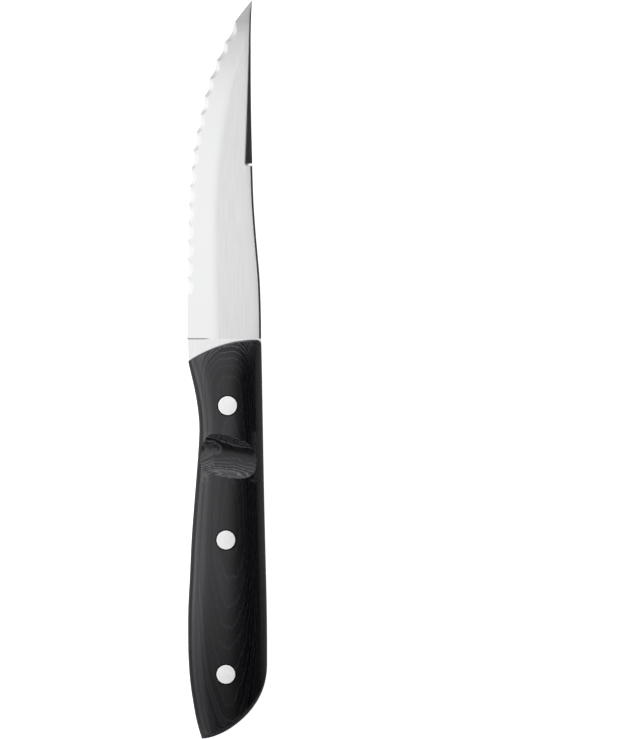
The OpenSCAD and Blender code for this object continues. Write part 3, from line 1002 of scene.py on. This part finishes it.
def cut_across(tree, facing, scooped):
    """How far the veneers are cut across: on slopes along the handle, and on the scoop's floor. Slopes
    facing the blade show more of it than those facing the butt, which is painted light and shade.
    """
    to_blade = step_up(tree, facing[1], *CUT_LIT_TO_BLADE)
    to_butt = step_up(tree, facing[1], *CUT_SHADED_TO_BUTT)
    floor = step_up(tree, calc(tree, "ABSOLUTE", facing[2]), *CUT_ON_FLOOR)
    return join(tree, "MAXIMUM", [to_blade, to_butt, calc(tree, "MULTIPLY", scooped, floor)])


def glue_lines(tree, layer, facing, pores, opened):
    """Thin pale lines between the veneers, broken by the pores, and wider where the face slopes."""
    flatness = calc(tree, "ABSOLUTE", facing[2])
    line_w = step_up(tree, flatness, *LINE_FLATNESS, *LINE_WIDTH)
    line = step_up(tree, calc(tree, "PINGPONG", layer, VENEER_MIDDLE), line_w, 0.0)
    shown = step_up(tree, opened, 0.0, 1.0, *LINE_SHOWN)
    return join(tree, "MULTIPLY", [line, step_up(tree, pores, *LINE_BREAKS), shown])


def cut_fibres(tree, place, veneer, scooped, opened):
    """Pale cut fibres, mostly in the scoop, and more in some veneers than in others."""
    fibres = step_up(tree, grain(tree, place, *FIBRE_GRAIN), *FIBRE_RANGE)
    torn = between(tree, scooped, FIBRES_OUT_OF_SCOOP, 1.0)
    return join(tree, "MULTIPLY", [fibres, opened, torn, step_up(tree, veneer, *PALE_VENEERS)])


def clear_of_rivet_shade(tree, x, y):
    """From 0 in the ring of painted shade round each rivet, in the gap beside it, to 1 beyond it."""
    gaps = []
    for number in range(RIVET_COUNT):
        middle = rivet_at(number) + TO_FRAME
        gap = calc(tree, "ADD", square(tree, x, middle.x), square(tree, y, middle.y))
        gaps.append(calc(tree, "SQRT", gap))
    return step_up(tree, join(tree, "MINIMUM", gaps), *SHADE_RING)


def laminated_wood():
    """Black laminated wood: thin pale glue lines between veneers, with fine pores along the grain."""
    material, tree, shader = new_material("laminated_wood")
    place = millimetres(tree)
    x, y, z = split(tree, place)
    facing = split(tree, put(tree, "ShaderNodeNewGeometry").outputs["Normal"])
    height = calc(tree, "ABSOLUTE", calc(tree, "SUBTRACT", z, KNIFE_T / 2))
    scooped = in_scoop(tree, y, height)
    opened = cut_across(tree, facing, scooped)
    layer = veneers_under(tree, place, height, scooped)
    number = {"W": calc(tree, "FLOOR", layer)}
    veneer = put(tree, "ShaderNodeTexWhiteNoise", number, noise_dimensions="1D").outputs["Value"]
    pores = grain(tree, place, *PORE_GRAIN)
    lines = glue_lines(tree, layer, facing, pores, opened)
    fibres = cut_fibres(tree, place, veneer, scooped, opened)
    specks = step_up(tree, grain(tree, place, *SPECK_GRAIN), *SPECK_RANGE)
    # Pale worn edges: partly real wear, partly a painted highlight along the creases
    worn = step_up(tree, pores, *WOOD_WEAR_AND_HIGHLIGHT)
    worn = calc(tree, "MULTIPLY", worn_edges(tree, WOOD_WEAR_AND_HIGHLIGHT_R), worn)
    # Painted shade round the rivets darkens the tone, the marks and the polish there
    clear = clear_of_rivet_shade(tree, x, y)
    marks = calc(tree, "MULTIPLY", join(tree, "MAXIMUM", [lines, specks, fibres, worn]), clear)
    tone = calc(tree, "MULTIPLY_ADD", veneer, VENEER_TONE, calc(tree, "MULTIPLY", pores, PORE_TONE))
    body = blend(tree, calc(tree, "MULTIPLY", tone, clear), WOOD_DARK, WOOD_PALE)
    tree.links.new(blend(tree, marks, body, WOOD_LINE), shader.inputs["Base Color"])
    rough = calc(tree, "MULTIPLY_ADD", marks, MARK_ROUGHNESS, WOOD_ROUGHNESS)
    rough = calc(tree, "MULTIPLY_ADD", pores, PORE_ROUGHNESS, rough)
    tree.links.new(rough, shader.inputs["Roughness"])
    raised = calc(tree, "MULTIPLY", pores, PORE_RELIEF)
    relief = calc(tree, "MULTIPLY_ADD", marks, -MARK_RELIEF, raised)
    tree.links.new(bump(tree, relief, WOOD_RELIEF, WOOD_RELIEF_STRENGTH), shader.inputs["Normal"])
    # Less gloss towards the butt: partly a duller finish, partly painted shade
    polish_and_shade = step_up(tree, y, *POLISH_AND_SHADE_FADE, *POLISH_AND_SHADE)
    shares = [between(tree, clear, SHADE_RING_POLISH, 1.0), between(tree, veneer, *VENEER_POLISH)]
    tree.links.new(join(tree, "MULTIPLY", [polish_and_shade] + shares), shader.inputs["Specular IOR Level"])
    shader.inputs["IOR"].default_value = WOOD_IOR
    shader.inputs["Specular Tint"].default_value = WOOD_SHEEN
    return material


# Stage

# The camera, in millimetres: its height, the height of the picture on the knife, how far right of
# the knife's middle it stands, its sensor, and how far it sees, in metres
CAMERA_HEIGHT = 2500
VIEW_H = 235.5
VIEW_X = 29.6
SENSOR = 36
CAMERA_REACH = 100
# The table: its side, in metres, its colour for the camera and for the light it gives the knife, its
# glow and its roughness. The background has the colour of the room's light
FLOOR_SIDE = 6
FLOOR_COLOUR = (0.92, 0.92, 0.92, 1)
FLOOR_BOUNCE = (0.5, 0.5, 0.5, 1)
FLOOR_GLOW = 1.0
FLOOR_ROUGHNESS = 0.7
BACKGROUND = (0.93, 0.93, 0.93, 1)


def make_floor():
    """A pale table, which glows for the camera and throws less light on the knife than it shows."""
    shape = bmesh.new()
    bmesh.ops.create_grid(shape, x_segments=1, y_segments=1, size=FLOOR_SIDE / 2)
    mesh = bpy.data.meshes.new("floor")
    shape.to_mesh(mesh)
    shape.free()
    floor = bpy.data.objects.new("floor", mesh)
    bpy.context.scene.collection.objects.link(floor)
    material, tree, shader = new_material("pale_floor")
    shader.inputs["Roughness"].default_value = FLOOR_ROUGHNESS
    shader.inputs["Emission Color"].default_value = FLOOR_COLOUR
    seen = put(tree, "ShaderNodeLightPath").outputs["Is Camera Ray"]
    tree.links.new(calc(tree, "MULTIPLY", seen, FLOOR_GLOW), shader.inputs["Emission Strength"])
    tree.links.new(blend(tree, seen, FLOOR_BOUNCE, FLOOR_COLOUR), shader.inputs["Base Color"])
    mesh.materials.append(material)


def make_camera():
    """Looks straight down on the knife, which lies left of the middle of the picture."""
    data = bpy.data.cameras.new("camera")
    data.sensor_width = SENSOR
    data.lens = SENSOR * CAMERA_HEIGHT / VIEW_H
    data.clip_end = CAMERA_REACH
    camera = bpy.data.objects.new("camera", data)
    camera.location = (VIEW_X * MM, 0, (CAMERA_HEIGHT + KNIFE_T / 2) * MM)
    bpy.context.scene.collection.objects.link(camera)
    bpy.context.scene.camera = camera


# Soft boxes over the blade, over the handle, to the left of both, and where the lower teeth mirror
# one: the middle and the size of each, in metres, and its brightness in watts for each square metre
# and steradian
BOX_HEIGHT = 0.5
SOFT_BOXES = {
    "blade_box": ((-0.285, 0.086), (0.67, 0.192), 0.845),
    "handle_box": ((-0.301, -0.0825), (0.638, 0.145), 0.82),
    "left_box": ((-0.395, 0.085), (0.45, 0.47), 0.88),
    "teeth_box": ((-0.52, -0.21), (0.2, 0.12), 0.88),
}


def make_soft_box(name, middle, size, radiance):
    data = bpy.data.lights.new(name, "AREA")
    data.shape = "RECTANGLE"
    data.size, data.size_y = size
    data.energy = math.pi * size[0] * size[1] * radiance
    light = bpy.data.objects.new(name, data)
    light.location = (*middle, BOX_HEIGHT)
    bpy.context.scene.collection.objects.link(light)


# The room's light, by the direction looked in. Each light is a product of steps, and each step has
# the axis it runs along, where it starts and ends there, and the brightness at both
ROOM_LIGHTS = {
    "right": [("x", 0.3, 0.6, 0.0, 0.02)],
    "top": [("x", 0.14, 0.02, 0.0, 0.2), ("y", -0.4, -0.06, 0.2, 1.0)],
    "left": [("x", -0.25, -0.42, 0.0, 0.25)],
    "glint": [("x", -0.45, -0.62, 0.0, 1.0), ("y", -0.8, -0.5, 0.0, 1.0), ("y", 0.8, 0.45, 0.0, 0.6)],
    "low_left": [("x", -0.7, -0.82, 0.0, 0.4)],
    "away": [("y", 0.14, 0.75, 0.0, 1.2), ("x", -0.33, -0.15, 0.45, 1.0)],
    "near": [("y", -0.93, -1.0, 0.0, 0.3)],
}
# The wall low down all round: where it starts and is full by the z of the direction, and how it
# dims on the right, where the greatest of three steps counts
WALL_HEIGHT = (0.42, 0.26, 0.0, 0.9)
WALL_SIDES = [("x", 0.2, -0.2, 0.35, 1.0), ("y", 0.2, 0.5, 0.35, 1.0), ("y", -0.2, -0.5, 0.35, 0.55)]


def make_room():
    """The studio: pale walls low down, bright on the left and at both ends, dark to the upper right."""
    world = bpy.data.worlds.new("room")
    bpy.context.scene.world = world
    world.use_nodes = True
    tree = world.node_tree
    tree.nodes.clear()
    axes = dict(zip("xyz", split(tree, put(tree, "ShaderNodeTexCoord").outputs["Generated"])))

    def steps(operation, rows):
        return join(tree, operation, [step_up(tree, axes[axis], *ends) for axis, *ends in rows])

    lights = [steps("MULTIPLY", rows) for rows in ROOM_LIGHTS.values()]
    wall = step_up(tree, axes["z"], *WALL_HEIGHT)
    lights.append(calc(tree, "MULTIPLY", wall, steps("MAXIMUM", WALL_SIDES)))
    light = join(tree, "ADD", lights)
    lit = put(tree, "ShaderNodeBackground", {"Color": BACKGROUND, "Strength": light}).outputs[0]
    seen = put(tree, "ShaderNodeBackground", {"Color": BACKGROUND, "Strength": 1.0}).outputs[0]
    straight = put(tree, "ShaderNodeLightPath").outputs["Is Camera Ray"]
    both = put(tree, "ShaderNodeMixShader", {0: straight, 1: lit, 2: seen}).outputs[0]
    put(tree, "ShaderNodeOutputWorld", {"Surface": both})


make_camera()
make_floor()
for name, (middle, size, radiance) in SOFT_BOXES.items():
    make_soft_box(name, middle, size, radiance)
make_room()
bpy.context.scene.view_settings.view_transform = "Standard"

steel = ground_steel()
wood = laminated_wood()
rivets = rivet_steel()
build_blade(steel)
build_scale("scale_front", "front_scale", 1, wood)
build_scale("scale_back", "back_scale", -1, wood)
for number in range(RIVET_COUNT):
    build_rivet(number, rivets)
